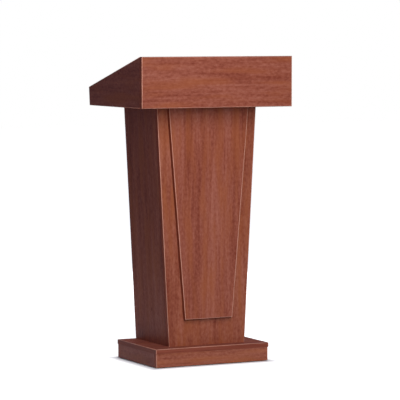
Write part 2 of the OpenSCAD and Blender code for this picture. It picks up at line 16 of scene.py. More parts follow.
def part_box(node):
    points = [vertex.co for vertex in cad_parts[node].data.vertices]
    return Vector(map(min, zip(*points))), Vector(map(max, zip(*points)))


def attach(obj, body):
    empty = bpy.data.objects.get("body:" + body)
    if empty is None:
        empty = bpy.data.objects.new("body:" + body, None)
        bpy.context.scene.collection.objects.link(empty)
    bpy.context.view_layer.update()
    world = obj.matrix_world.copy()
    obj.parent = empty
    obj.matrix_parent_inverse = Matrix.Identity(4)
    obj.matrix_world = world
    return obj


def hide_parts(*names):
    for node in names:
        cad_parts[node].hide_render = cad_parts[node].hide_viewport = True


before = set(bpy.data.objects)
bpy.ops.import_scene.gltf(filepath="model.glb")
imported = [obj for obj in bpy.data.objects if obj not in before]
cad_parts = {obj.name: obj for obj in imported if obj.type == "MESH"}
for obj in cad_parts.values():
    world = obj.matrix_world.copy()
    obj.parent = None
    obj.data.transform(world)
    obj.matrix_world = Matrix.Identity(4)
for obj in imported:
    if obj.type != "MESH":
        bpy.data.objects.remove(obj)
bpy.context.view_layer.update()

print("pieces in the model:", len(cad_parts))

# %% [markdown]
# Lengths are in metres, so a millimetre has a name of its own, and so has the small distance
# within which two values count as the same. The boards lie in their own vertices and not in
# their objects' places, so a board is measured by looking at its points. `span` asks how far a
# board reaches on one axis, and `where` narrows that to the points at one height or depth, which
# finds the corners of a tapered board.

# %% Measure the boards
MM = 0.001
CLOSE = 0.05 * MM
AXES = {"x": 0, "y": 1, "z": 2}


def span(node, axis, where=None, at=0.0):
    """Lowest and highest value of a board on one axis, of all points or of those at one place."""
    points = [v.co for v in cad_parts[node].data.vertices]
    if where:
        points = [p for p in points if abs(p[AXES[where]] - at) < CLOSE]
    values = [p[AXES[axis]] for p in points]
    return min(values), max(values)


front_y, front_back_y = span("desk_front", "y")
board_t = front_back_y - front_y
edging_t = span("desk_front_edging", "x")[1] - span("desk_front", "x")[1]
desk_z, rim_z = span("desk_front_edging", "z")
base_z = span("base_top_edging", "z")[1]
print(f"board {board_t / MM:.1f} mm, edging {edging_t / MM:.1f} mm")
print(f"base top at {base_z / MM:.0f} mm, desk from {desk_z / MM:.0f} to {rim_z / MM:.0f} mm")

# %% [markdown]
# The camera stands where the photograph was taken from: far away, left of the front, a little
# above the desk, with a long lens. With such a lens the upright edges stay nearly parallel. The
# lens and the sensor are given in millimetres, as on a real camera.

# %% Camera
CAMERA_PLACE = (-4.2744, -8.5638, 1.3226)
CAMERA_TURN = math.radians(26.769)
CAMERA_DOWN = math.radians(4.135)
SENSOR_WIDTH = 36.0
LENS_LENGTH = 218.58

camera_data = bpy.data.cameras.new("camera")
camera_data.sensor_width = SENSOR_WIDTH
camera_data.lens = LENS_LENGTH
camera = bpy.data.objects.new("camera", camera_data)
camera.location = CAMERA_PLACE
camera.rotation_euler = (math.pi / 2 - CAMERA_DOWN, 0, -CAMERA_TURN)
bpy.context.scene.collection.objects.link(camera)
bpy.context.scene.camera = camera
view_direction = camera.rotation_euler.to_matrix() @ Vector((0, 0, -1))
print("camera looks along", [round(v, 3) for v in view_direction])

# %% [markdown]
# Finishes are built from shader nodes. A shader tree gets long when every node takes three
# lines, so `put` adds a node and fills its inputs at once: a number is set on the socket, and
# another node's output is linked to it.

# %% Helpers: put a shader node and start a finish
def put(tree, kind, inputs=(), **settings):
    """Add a node. Its inputs are named or numbered, and take numbers or other nodes' outputs."""
    made = tree.nodes.new(kind)
    for name, value in settings.items():
        setattr(made, name, value)
    for name, value in dict(inputs).items():
        if isinstance(value, bpy.types.NodeSocket):
            tree.links.new(value, made.inputs[name])
        else:
            made.inputs[name].default_value = value
    return made


def colour(red, green, blue):
    """A colour as it is picked, 0 to 255, turned into linear light by the curve of screens."""
    def linear(v):
        v = v / 255
        return v / 12.92 if v <= 0.04045 else ((v + 0.055) / 1.055) ** 2.4
    return (linear(red), linear(green), linear(blue), 1.0)


def grey(value):
    """A plain number as a colour that is the same in all three channels."""
    return (value, value, value, 1.0)


def new_finish(name, inputs):
    """A new material with its tree, its shader, and the coordinates that its patterns read."""
    finish = bpy.data.materials.new(name)
    finish.use_nodes = True
    tree = finish.node_tree
    shader = tree.nodes["Principled BSDF"]
    for socket, value in inputs.items():
        shader.inputs[socket].default_value = value
    place = put(tree, "ShaderNodeTexCoord").outputs["Object"]
    return finish, tree, shader, place


# %% [markdown]
# Wood grain is noise that is stretched along the board. A pattern's patch is some millimetres
# across the grain and much longer along it, so one helper makes noise from those two sizes.
# Object coordinates are used, so that the pattern keeps its real size on every board and two
# neighbouring boards never match. Where a finish has no grain, the patches are as long as they
# are wide.

# %% Helpers: patterns
def patches(tree, place, grain, across, along, detail=2.0, rough=0.5, shift=0.0):
    """Noise in patches of a real size: across and along are in millimetres, grain is an axis."""
    sizes = [along if axis == grain else across for axis in "xyz"]
    stretched = put(tree, "ShaderNodeMapping", {
        "Vector": place,
        "Location": (shift, shift, shift),
        "Scale": [1 / (size * MM) for size in sizes],
    })
    noise = put(tree, "ShaderNodeTexNoise", {
        "Vector": stretched.outputs[0], "Scale": 1.0, "Detail": detail, "Roughness": rough,
    })
    return noise.outputs[0]


def mottle(tree, place, size, detail=2.0, rough=0.5):
    """Noise without a grain."""
    return patches(tree, place, None, size, size, detail, rough)


def weigh(tree, parts):
    """Add up pairs of a pattern and its weight. Each has its middle at 0.5, and so has the sum."""
    total = 0.5 - 0.5 * sum(weight for _, weight in parts)
    for pattern, weight in parts:
        total = put(tree, "ShaderNodeMath", {0: pattern, 1: weight, 2: total},
                    operation="MULTIPLY_ADD").outputs[0]
    return total


# %% [markdown]
# A pattern becomes something to look at in one of three ways: a ramp turns it into colours or
# into values of gloss, a threshold turns it into a mask that mixes two colours, and a bump turns
# it into relief. A bump moves no surface and only changes how light falls on it, so it is kept
# to a tenth of a millimetre or so. Anything deeper is modelled.

# %% Helpers: from a pattern to a colour or relief
def ramp(tree, value, stops):
    """A colour ramp from pairs of a place, 0 to 1, and a colour."""
    made = put(tree, "ShaderNodeValToRGB", {0: value})
    points = made.color_ramp.elements
    while len(points) < len(stops):
        points.new(0.5)
    for point, (place, tint) in zip(points, stops):
        point.position = place
        point.color = tint
    return made.outputs[0]


def between(tree, factor, first, second):
    """Mix two colours. The node takes them in its sockets 6 and 7, and gives the mix in 2."""
    mixed = put(tree, "ShaderNodeMix", {0: factor, 6: first, 7: second}, data_type="RGBA")
    return mixed.outputs[2]


def threshold(tree, value, low, high, top=1.0):
    """0 at the low value and top at the high one, smooth in between."""
    steps = {0: value, 1: low, 2: high, 3: 0.0, 4: top}
    return put(tree, "ShaderNodeMapRange", steps, interpolation_type="SMOOTHSTEP").outputs[0]


def bump(tree, shader, height, strength, depth, inverted=False):
    """Raise the surface by a pattern. The depth is in metres."""
    made = put(tree, "ShaderNodeBump", {
        "Strength": strength, "Distance": depth, "Height": height,
    }, invert=inverted)
    tree.links.new(made.outputs[0], shader.inputs["Normal"])


# %% [markdown]
# The boards are chipboard faced with printed paper under clear melamine resin. The print is a
# red mahogany: broad bands that shift between red and orange, finer streaks, a mottled fleck
# where the real wood's grain would dip in and out, short dark pores and now and then a pin knot.
# The resin has a satin sheen and a shallow pore texture pressed into it. A picture of wood could
# be mapped on, but noise has no seams, and its grain can be turned with each board, as the maker
# turned the sheets: along the desk front, and upwards on the column.

# %% Helper: mahogany faced board
STREAKS_WEIGHT, FLECK_WEIGHT = 0.55, 0.50
ORANGE_FROM, ORANGE_TO, ORANGE_MOST = 0.40, 0.75, 0.6
PORE_FROM, PORE_TO, PORE_DARKNESS = 0.60, 0.72, 0.4
KNOTS_ALONG, KNOTS_ACROSS = 4.2, 9.0  # cells to the metre
KNOT_RIM, KNOT_CORE = 0.045, 0.018  # as shares of a cell


def pin_knots(tree, place, grain):
    """A mask of pin knots: the cores of cells that are longer along the grain than across."""
    cells = put(tree, "ShaderNodeMapping", {
        "Vector": place,
        "Scale": [KNOTS_ALONG if axis == grain else KNOTS_ACROSS for axis in "xyz"],
    })
    knots = put(tree, "ShaderNodeTexVoronoi", {"Vector": cells.outputs[0], "Scale": 1.0})
    return threshold(tree, knots.outputs["Distance"], KNOT_RIM, KNOT_CORE)


def faced_board(name, grain, dark, middle, light, orange, broad=0.30,
                sheen=0.22, smooth=0.42, dull=0.56):
    """A printed board under resin. Broad weighs its bands, and the last three set its gloss."""
    finish, tree, shader, place = new_finish(name, {"Specular IOR Level": sheen})
    bands = patches(tree, place, grain, across=45, along=600, detail=1.0)
    streaks = patches(tree, place, grain, across=12, along=230, detail=3.0, rough=0.6)
    fleck = patches(tree, place, grain, across=8, along=14, detail=2.0, shift=11.0)
    warmth = patches(tree, place, grain, across=34, along=240, detail=1.0, shift=7.0)
    pores = patches(tree, place, grain, across=1.1, along=16, detail=1.0, shift=3.0)
    pressed = threshold(tree, pores, PORE_FROM, PORE_TO)
    inked = threshold(tree, pores, PORE_FROM, PORE_TO, top=PORE_DARKNESS)

    tone = weigh(tree, [(bands, broad), (streaks, STREAKS_WEIGHT), (fleck, FLECK_WEIGHT)])
    wood = ramp(tree, tone, [(0.28, dark), (0.50, middle), (0.72, light)])
    warm = threshold(tree, warmth, ORANGE_FROM, ORANGE_TO, top=ORANGE_MOST)
    wood = between(tree, warm, wood, orange)
    wood = between(tree, inked, wood, dark)
    wood = between(tree, pin_knots(tree, place, grain), wood, dark)
    tree.links.new(wood, shader.inputs["Base Color"])

    handled = weigh(tree, [(streaks, 0.6), (pressed, 0.4)])
    gloss = ramp(tree, handled, [(0.2, grey(smooth)), (0.9, grey(dull))])
    tree.links.new(gloss, shader.inputs["Roughness"])
    bump(tree, shader, pressed, strength=0.25, depth=0.15 * MM, inverted=True)
    return finish


# %% [markdown]
# One print never comes out alike on every board. The column's front is a little warmer and the
# base's rails are a little paler and greyer. The top of the base, where feet rest, is duller, and
# its print is painted darker there as painted shade. So there are four sets of colours, and a
# finish for each way that the grain can run. The bands show more where the grain runs upwards,
# and less where it runs across.

# %% Finishes of the boards
MAHOGANY = {
    "dark": colour(119, 50, 33),
    "middle": colour(147, 79, 60),
    "light": colour(167, 100, 81),
    "orange": colour(158, 85, 49),
}
WARMER = {
    "dark": colour(119, 50, 32),
    "middle": colour(147, 79, 57),
    "light": colour(167, 100, 78),
    "orange": colour(158, 85, 45),
}
PALER_GREYER = {
    "dark": colour(122, 55, 36),
    "middle": colour(152, 85, 63),
    "light": colour(172, 106, 84),
    "orange": colour(163, 91, 52),
}
# Darker colours for the base top: painted shade on its level face.
DARKER_FOR_SHADE = {
    "dark": colour(110, 46, 32),
    "middle": colour(136, 73, 58),
    "light": colour(154, 92, 79),
    "orange": colour(146, 79, 50),
}
board_up = faced_board("mahogany_grain_up", "z", broad=0.50, **MAHOGANY)
board_warm = faced_board("mahogany_grain_up_warmer", "z", broad=0.50, **WARMER)
board_across = faced_board("mahogany_grain_across", "x", broad=0.15, **MAHOGANY)
board_paler_greyer = faced_board("mahogany_paler_greyer", "x", broad=0.15, **PALER_GREYER)
board_deep = faced_board("mahogany_grain_front_to_back", "y", **MAHOGANY)
# The base top is duller, and its darker print is painted shade.
board_top_shaded = faced_board("mahogany_top_painted_shade", "x", sheen=0.12, smooth=0.62, dull=0.78,
                            **DARKER_FOR_SHADE)
print("board finishes:", board_up.name, board_warm.name, board_across.name, board_paler_greyer.name,
      board_deep.name, board_top_shaded.name)

# %% [markdown]
# A board keeps its measured shape, with its holes, and only gets its finish. The grain runs up
# the column, along the desk front, the reading board, the shelf and the base's top and front,
# and from front to back on the desk's sides and the base's side rails.

# %% Dress the boards
def dress(finish, *names):
    """Give a finish to boards or fixings of the model, in place of the plain one."""
    for name in names:
        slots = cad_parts[name].data.materials
        slots.clear()
        slots.append(finish)
    print(finish.name, "on", len(names))


dress(board_up, "column_left_side", "column_right_side", "raised_panel")
dress(board_warm, "column_front")
dress(board_across, "desk_front", "desk_bottom", "reading_board", "desk_rear_rail",
      "column_top_board", "column_bottom_board", "shelf")
dress(board_paler_greyer, "base_front_rail", "base_rear_rail")
dress(board_top_shaded, "base_top")
dress(board_deep, "desk_left_side", "desk_right_side", "base_left_rail", "base_right_rail",
      "base_centre_rail")

# %% [markdown]
# The raw edge of a board is closed by a glued strip of plastic edging, 3 mm thick. Its outer
# face is printed like the boards, a little darker, and darker still on the base's top, where the
# darkness is partly painted shade. When its two long corners, the arrises, are milled round, the
# cutter goes through the print and shows the paler plastic, and that is the light line along
# every edge of the lectern. The upright lines are the palest, and the level and sloping ones are
# painted a darker pale, as painted shade. All strips share one list of finishes, and a face takes
# its finish by a number in the list: first come the prints along X, Y and Z, then the darker ones
# along X and Y, then the two arrises.

# %% Finishes: printed edging and milled arris
def printed_edging(name, grain, dark, light):
    finish, tree, shader, place = new_finish(name, {
        "Specular IOR Level": 0.22, "Roughness": 0.46,
    })
    streaks = patches(tree, place, grain, across=6, along=150, detail=3.0)
    printed = ramp(tree, streaks, [(0.30, dark), (0.72, light)])
    tree.links.new(printed, shader.inputs["Base Color"])
    pores = patches(tree, place, grain, across=0.8, along=6)
    bump(tree, shader, pores, strength=0.15, depth=0.1 * MM)
    return finish


def milled_arris(name, dark, light):
    finish, tree, shader, place = new_finish(name, {"Specular IOR Level": 0.22})
    worn = mottle(tree, place, 45, detail=4.0, rough=0.65)
    pale = ramp(tree, worn, [(0.30, dark), (0.70, light)])
    tree.links.new(pale, shader.inputs["Base Color"])
    rubbed = weigh(tree, [(mottle(tree, place, 12), 0.25)])
    tree.links.new(rubbed, shader.inputs["Roughness"])
    bump(tree, shader, mottle(tree, place, 1.2), strength=0.1, depth=0.1 * MM)
    return finish


EDGING_FINISHES = [
    printed_edging(f"edging_print_along_{axis}", axis, colour(135, 59, 37), colour(161, 82, 56))
    for axis in "xyz"
]
# The darker prints go round the base top; their darkness is partly painted shade.
SHADED_PRINT_SLOT = len(EDGING_FINISHES)
EDGING_FINISHES += [
    printed_edging(f"edging_shaded_print_along_{axis}", axis, colour(121, 56, 38), colour(147, 76, 55))
    for axis in "xy"
]
ARRIS_SLOT = len(EDGING_FINISHES)
# The second arris, for level and sloping strips, is painted darker as painted shade.
SHADED_ARRIS_SLOT = ARRIS_SLOT + 1
EDGING_FINISHES += [
    milled_arris("edging_milled_arris", colour(190, 130, 108), colour(218, 162, 140)),
    milled_arris("edging_arris_painted_shade", colour(170, 108, 89), colour(198, 140, 120)),
]
print("edging finishes:", [finish.name for finish in EDGING_FINISHES])

# %% [markdown]
# Every strip is cut out of a whole board, as if the board were solid plastic: the outline is
# drawn as a face, extruded to the board's thickness, and the arrises of the banded edges are
# rounded with a bevel. Then planes cut the strip off. That way the rounding meets by itself at
# the corners, also on the sloping and leaning boards, and no strip needs its own arithmetic.
# `bisect_plane` leaves a hole where it cuts, so the cut's rim is filled again.

# %% Helpers: a slab and a cut
def slab(outline, depth):
    """A closed board: outline is a loop of points, and depth is the way through the board."""
    bm = bmesh.new()
    face = bm.faces.new([bm.verts.new(point) for point in outline])
    raised = bmesh.ops.extrude_face_region(bm, geom=[face])["geom"]
    far = [v for v in raised if isinstance(v, bmesh.types.BMVert)]
    bmesh.ops.translate(bm, verts=far, vec=depth)
    bmesh.ops.recalc_face_normals(bm, faces=bm.faces)
    return bm


def cut(bm, point, outward):
    """Cut with a plane, take off what lies outward of it, and close the hole."""
    everything = list(bm.verts) + list(bm.edges) + list(bm.faces)
    done = bmesh.ops.bisect_plane(bm, geom=everything, plane_co=point, plane_no=outward,
                                  clear_outer=True)
    rim = [e for e in done["geom_cut"] if isinstance(e, bmesh.types.BMEdge)]
    bmesh.ops.edgeloop_fill(bm, edges=rim)
    bmesh.ops.recalc_face_normals(bm, faces=bm.faces)


# %% [markdown]
# The cutter rounds only the long corners of the sides that carry edging. The edges to bevel are
# found by where they lie: in the plane of such a side, and along it. Two directions are the same
# when their product is 1, and nearly 1 will do. Only the rounded faces are shaded smooth, so the
# flats stay flat.

# %% Helper: round the arrises
ARRIS = 2.0 * MM
DEEP_ARRIS = 2.4 * MM
ARRIS_STEPS = 5
SAME_WAY = 0.999


def side_of(outline, depth, number):
    """Where a side starts, the way it runs and the way out of the board there."""
    start = Vector(outline[number])
    run = (Vector(outline[(number + 1) % len(outline)]) - start).normalized()
    out = run.cross(Vector(depth)).normalized()
    centre = sum((Vector(point) for point in outline), Vector()) / len(outline)
    return start, run, out if out.dot(start - centre) > 0 else -out


def round_arrises(bm, outline, depth, sides, deep):
    """Round both long corners of the banded sides, or deeply only those of the far face."""
    through = Vector(depth).normalized()
    far_face = Vector(outline[0]) + Vector(depth)
    edges = []
    for number in sides:
        start, run, out = side_of(outline, depth, number)
        for edge in bm.edges:
            along = (edge.verts[1].co - edge.verts[0].co).normalized()
            on_side = all(abs((v.co - start).dot(out)) < CLOSE for v in edge.verts)
            on_far = abs((edge.verts[0].co - far_face).dot(through)) < CLOSE
            if on_side and abs(along.dot(run)) > SAME_WAY and (on_far or not deep):
                edges.append(edge)
    done = bmesh.ops.bevel(bm, geom=edges, offset=DEEP_ARRIS if deep else ARRIS,
                           offset_type="OFFSET", affect="EDGES", segments=ARRIS_STEPS,
                           profile=0.5, material=-1)
    for face in done["faces"]:
        face.smooth = True


# %% [markdown]
# Where two strips meet at a corner, one runs through and the other butts against it, with a
# seam of a tenth of a millimetre. The print covers the flat that looks straight out and wraps
# the first part of the corner, where the cutter only begins to bite. What it has cut deeper
# shows the plastic: the rest of the arris, the narrow land beside the board's face, and the
# ends. How far a face has turned from straight out is told by the product of the two directions
# again: the smaller it is, the further the face has turned.

# %% Helper: the edging of one board
SEAM = 0.1 * MM
PRINT_WRAPS_TO = 0.65


def paint(bm, run, out, deep):
    """Give each face of a strip the number of its finish."""
    print_slot = max(range(3), key=lambda axis: abs(run[axis]))
    # Level and sloping strips take the darker arris: painted shade.
    arris_slot = ARRIS_SLOT if print_slot == AXES["z"] else SHADED_ARRIS_SLOT
    # Strips round the base top take the darker print, which is partly painted shade.
    if deep:
        print_slot += SHADED_PRINT_SLOT
    for face in bm.faces:
        wraps = face.smooth and not deep
        printed = face.normal.dot(out) > (PRINT_WRAPS_TO if wraps else SAME_WAY)
        face.material_index = print_slot if printed else arris_slot


def strips(outline, depth, through, butted=(), ends=(), deep=False):
    """The strips of one board. Ends are more planes that cut them off, each a point and a way."""
    parts = []
    for number in [*through, *butted]:
        bm = slab(outline, depth)
        round_arrises(bm, outline, depth, [*through, *butted], deep)
        start, run, out = side_of(outline, depth, number)
        cut(bm, start - out * edging_t, -out)
        planes = list(ends)
        if number in butted:
            for other in through:
                corner, _, way = side_of(outline, depth, other)
                planes.append((corner - way * (edging_t + SEAM), way))
        for point, way in planes:
            cut(bm, point, way)
        paint(bm, run, out, deep)
        parts.append(bm)
    return parts


# %% [markdown]
# The strips of one board become one object, which stands for the model's own edging of that
# board. Every new piece rides on the lectern's one body, and gets its finishes as materials.

# %% Helpers: finish a piece
def join(node, word, parts, finishes):
    """One object from several meshes, in place of a node of the model."""
    mesh = bpy.data.meshes.new(f"{node}_{word}")
    whole = bmesh.new()
    for part in parts:
        part.to_mesh(mesh)
        part.free()
        whole.from_mesh(mesh)
    whole.to_mesh(mesh)
    whole.free()
    for finish in finishes:
        mesh.materials.append(finish)
    piece = bpy.data.objects.new(mesh.name, mesh)
    bpy.context.scene.collection.objects.link(piece)
    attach(piece, "root")
    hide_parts(node)
    print(f"{piece.name}: {len(mesh.polygons)} faces")


def trim(node, parts):
    """The strips of one board as a piece."""
    join(node, "milled", parts, EDGING_FINISHES)


# %% [markdown]
# The outlines follow. Upright boards that face the front are drawn in X and Z, the side boards
# in Y and Z, and level boards in X and Y. Each helper turns flat pairs into points in space. A
# side of an outline has the number of the point where it starts, and each kind of board has its
# own names for these numbers.

# %% Helpers: draw an outline
FOOT, RIGHT, TOP, LEFT = range(4)
SIDE_FOOT, SIDE_REAR, SIDE_TOP = range(3)
LEVEL_FRONT, LEVEL_RIGHT, LEVEL_REAR, LEVEL_LEFT = range(4)


def facing_front(pairs, y):
    return [(x, y, z) for x, z in pairs]


def facing_side(pairs, x):
    return [(x, y, z) for y, z in pairs]


def level(pairs, z):
    return [(x, y, z) for x, y in pairs]


def rectangle(a_low, b_low, a_high, b_high):
    return [(a_low, b_low), (a_high, b_low), (a_high, b_high), (a_low, b_high)]


# %% [markdown]
# The desk: its front has strips on all four sides, its sides have them along the foot, the rear
# and the sloping rim, and the bottom board and the rear rail have one each.

# %% Edging of the desk
desk_x = span("desk_front_edging", "x")[1]
inner_x = desk_x - board_t
front_outline = facing_front(rectangle(-desk_x, desk_z, desk_x, rim_z), front_y)
trim("desk_front_edging", strips(front_outline, (0, board_t, 0), [RIGHT, LEFT], [FOOT, TOP]))

rear_y = span("desk_right_edging", "y")[1]
rear_foot_y = span("desk_right_edging", "y", "z", desk_z)[1]
rear_rim_z = span("desk_right_edging", "z", "y", rear_y)[1]
side_pairs = [(front_back_y, desk_z), (rear_foot_y, desk_z), (rear_y, rear_rim_z),
              (front_back_y, rim_z)]
for node, turn in (("desk_right_edging", 1), ("desk_left_edging", -1)):
    outline = facing_side(side_pairs, turn * inner_x)
    trim(node, strips(outline, (turn * board_t, 0, 0), [SIDE_REAR], [SIDE_FOOT, SIDE_TOP]))

outline = level(rectangle(-inner_x, front_back_y, inner_x, rear_foot_y), desk_z)
trim("desk_bottom_edging", strips(outline, (0, 0, board_t), [LEVEL_REAR]))

rail_top_z = span("desk_rear_rail_edging", "z")[1]
rail_pairs = rectangle(-inner_x, desk_z + board_t, inner_x, rail_top_z)
outline = facing_front(rail_pairs, rear_foot_y - board_t)
trim("desk_rear_rail_edging", strips(outline, (0, board_t, 0), [TOP]))

# %% [markdown]
# The column: its front tapers, so its outline has two widths, measured at its foot and at its
# top. Its sides lean with it. A leaning side is drawn in the plane of its outer face and longer
# than it is, and two level planes cut it to the column's height. The level boards between the
# sides end on the leaning planes of the sides' inner faces.

# %% Edging of the column
column_y, column_back_y = span("column_front", "y")
column_rear_y = span("column_side_edging", "y")[1]
foot_x = span("column_front_edging", "x", "z", base_z)[1]
top_x = span("column_front_edging", "x", "z", desk_z)[1]
column_pairs = [(-foot_x, base_z), (foot_x, base_z), (top_x, desk_z), (-top_x, desk_z)]
outline = facing_front(column_pairs, column_y)
trim("column_front_edging", strips(outline, (0, board_t, 0), [RIGHT, LEFT]))

lean = math.atan2(top_x - foot_x, desk_z - base_z)
print(f"the column's sides lean {math.degrees(lean):.2f} degrees")
level_cuts = [((0, 0, base_z), (0, 0, -1)), ((0, 0, desk_z), (0, 0, 1))]
low_z, high_z = base_z - board_t, desk_z + board_t
parts = []
for turn in (1, -1):
    outline = [
        (turn * (foot_x + (z - base_z) * math.tan(lean)), y, z)
        for y, z in rectangle(column_back_y, low_z, column_rear_y, high_z)
    ]
    depth = Vector((-turn * math.cos(lean), 0, math.sin(lean))) * board_t
    parts += strips(outline, depth, [SIDE_REAR], ends=level_cuts)
trim("column_side_edging", parts)

inner_foot_x = foot_x - board_t / math.cos(lean)
lean_cuts = [
    ((turn * inner_foot_x, 0, base_z), (turn * math.cos(lean), 0, -math.sin(lean)))
    for turn in (1, -1)
]
parts = []
for z in (base_z, desk_z - board_t):
    outline = level(rectangle(-desk_x, column_back_y, desk_x, column_rear_y), z)
    parts += strips(outline, (0, 0, board_t), [LEVEL_REAR], ends=lean_cuts)
trim("column_board_edging", parts)

# %% [markdown]
# The shelf has a strip on its open edge. The raised panel has one on each side and one along its
# foot, but none at its top, which is hidden under the desk.

# %% Edging of the shelf and the raised panel
shelf_low, shelf_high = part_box("shelf")
shelf_rear_y = span("shelf_edging", "y")[1]
shelf_pairs = rectangle(shelf_low.x, shelf_low.y, shelf_high.x, shelf_rear_y)
trim("shelf_edging", strips(level(shelf_pairs, shelf_low.z), (0, 0, board_t), [LEVEL_REAR]))

panel_z = span("raised_panel_edging", "z")[0]
panel_foot_x = span("raised_panel_edging", "x", "z", panel_z)[1]
panel_top_x = span("raised_panel_edging", "x", "z", desk_z)[1]
panel_pairs = [(-panel_foot_x, panel_z), (panel_foot_x, panel_z), (panel_top_x, desk_z),
               (-panel_top_x, desk_z)]
outline = facing_front(panel_pairs, span("raised_panel", "y")[0])
trim("raised_panel_edging", strips(outline, (0, board_t, 0), [RIGHT, LEFT], [FOOT]))

# %% [markdown]
# The base: strips run round its top board. Only their upper corners are milled, deeper than
# elsewhere, since shoes will rub there. The lower corners sit just proud of the rails and stay
# square. The front rail has a strip on each end, which shows from the side, and each side rail
# has one on its rear end.

# %% Edging of the base
top_low, top_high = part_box("base_top_edging")
outline = level(rectangle(top_low.x, top_low.y, top_high.x, top_high.y), top_low.z)
# deep=True gives these strips the darker print, which is partly painted shade.
trim("base_top_edging",
     strips(outline, (0, 0, top_high.z - top_low.z), [LEVEL_RIGHT, LEVEL_LEFT],
            [LEVEL_FRONT, LEVEL_REAR], deep=True))

rail_low, rail_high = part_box("base_rail_edging")
front_rail = rectangle(rail_low.x, rail_low.z, rail_high.x, rail_high.z)
parts = strips(facing_front(front_rail, rail_low.y), (0, board_t, 0), [RIGHT, LEFT])
side_rail = rectangle(rail_low.y + board_t, rail_low.z, rail_high.y, rail_high.z)
for turn in (1, -1):
    outline = facing_side(side_rail, turn * (rail_high.x - board_t))
    parts += strips(outline, (turn * board_t, 0, 0), [SIDE_REAR])
trim("base_rail_edging", parts)

# %% [markdown]
# Small turned parts are spun from half of their section: pairs of a radius and a height go once
# round an axis. A section that starts and ends on the axis makes a solid, and one that closes on
# itself makes a ring. Corners of more than 30 degrees stay sharp in the shading.

# %% Helpers: turn a small part
TURN_STEPS = 32
SHARP = math.radians(30)
DOUBLE = 0.001 * MM


def shade(bm):
    """Shade a part smooth, except over its sharp corners."""
    bmesh.ops.recalc_face_normals(bm, faces=bm.faces)
    for face in bm.faces:
        face.smooth = True
    for edge in bm.edges:
        edge.smooth = edge.calc_face_angle(0) < SHARP
    return bm


def turned(section, place, ring=False):
    """Spin a section of (radius, height) pairs round Z, and move it to its place."""
    bm = bmesh.new()
    points = [bm.verts.new((radius, 0, height)) for radius, height in section]
    closing = points[1:] + points[:1] if ring else points[1:]
    lines = [bm.edges.new(pair) for pair in zip(points, closing)]
    bmesh.ops.spin(bm, geom=points + lines, cent=(0, 0, 0), axis=(0, 0, 1),
                   angle=2 * math.pi, steps=TURN_STEPS, use_merge=True)
    bmesh.ops.remove_doubles(bm, verts=bm.verts, dist=DOUBLE)
    bm.transform(place)
    return shade(bm)


# %% [markdown]
# The model keeps all caps, pegs or glides of a kind in one node, and each new one has to sit
# where an old one was. So a node is taken apart first: from one point the edges are followed
# until no new point turns up, and those points are one solid.

# %% Helper: the solids of a node
def solids(node):
    """The separate solids of a node, each as an array of its points."""
    bm = bmesh.new()
    bm.from_mesh(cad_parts[node].data)
    bmesh.ops.remove_doubles(bm, verts=bm.verts, dist=DOUBLE)
    seen = set()
    found = []
    for first in bm.verts:
        todo = [first]
        points = []
        while todo:
            vert = todo.pop()
            if vert.index not in seen:
                seen.add(vert.index)
                points.append(vert.co[:])
                todo += [edge.other_vert(vert) for edge in vert.link_edges]
        if points:
            found.append(numpy.array(points))
    bm.free()
    print(node, "holds", len(found), "solids")
    return found


# %% [markdown]
# Moulded plastic is one colour all through, but never quite even: it has a faint mottle, places
# that are hazier than others, and a fine stipple from the mould.

# %% Helper: moulded plastic
def moulded(name, dark, light, sheen, mottle_size, haze_size, stipple_size, stipple_strength):
    """Moulded plastic. The sizes of its mottle, haze and stipple are in millimetres."""
    finish, tree, shader, place = new_finish(name, {"Specular IOR Level": sheen})
    tint = ramp(tree, mottle(tree, place, mottle_size), [(0.30, dark), (0.70, light)])
    tree.links.new(tint, shader.inputs["Base Color"])
    haze = weigh(tree, [(mottle(tree, place, haze_size), 0.3)])
    tree.links.new(haze, shader.inputs["Roughness"])
    stipple = mottle(tree, place, stipple_size)
    bump(tree, shader, stipple, stipple_strength, depth=0.05 * MM)
    return finish


# %% [markdown]
# A cap covers each cam that shows. It is a shallow moulded dome with a small step at its rim,
# and its section is written as shares of its radius and its thickness. A solid's thinnest
# direction is found from the spread of its points: for a flat disc, that is its axis. Caps whose
# axis lies level look into the lectern, and the others look down.

# %% Cam caps
CAP_SECTION = [(0, 0), (1, 0), (1, 0.45), (0.952, 0.62), (0.88, 0.66), (0.70, 0.85),
               (0.35, 0.97), (0, 1)]
UPRIGHT = 0.5

cap_finish = moulded("cap_moulded_brown", colour(84, 40, 30), colour(98, 50, 38), sheen=0.45,
                     mottle_size=7, haze_size=3, stipple_size=0.4, stipple_strength=0.2)


def cap(points):
    """A cap where the model has one."""
    middle = points.mean(axis=0)
    centre = Vector(middle)
    _, _, spreads = numpy.linalg.svd(points - middle)
    axis = Vector(spreads[2])
    inward = Vector((-centre.x, 0, 0)) if abs(axis.z) < UPRIGHT else Vector((0, 0, -1))
    axis = axis if axis.dot(inward) > 0 else -axis
    reach = (points - numpy.array(centre)) @ numpy.array(axis)
    thick = reach.max() - reach.min()
    radius = max((Vector(point) - centre).cross(axis).length for point in points)
    section = [(radius * out, thick * up) for out, up in CAP_SECTION]
    turn = axis.to_track_quat("Z", "Y").to_matrix().to_4x4()
    return turned(section, Matrix.Translation(centre - axis * thick / 2) @ turn)


for node in ("desk_cam_caps", "column_cam_caps"):
    join(node, "domed", [cap(points) for points in solids(node)], [cap_finish])

# %% [markdown]
# The shelf rests on four pegs of plated steel, and steel fixings hold the rest together. Bare or
# plated metal is never an even mirror: it clouds a little, and handling leaves fine scratches.

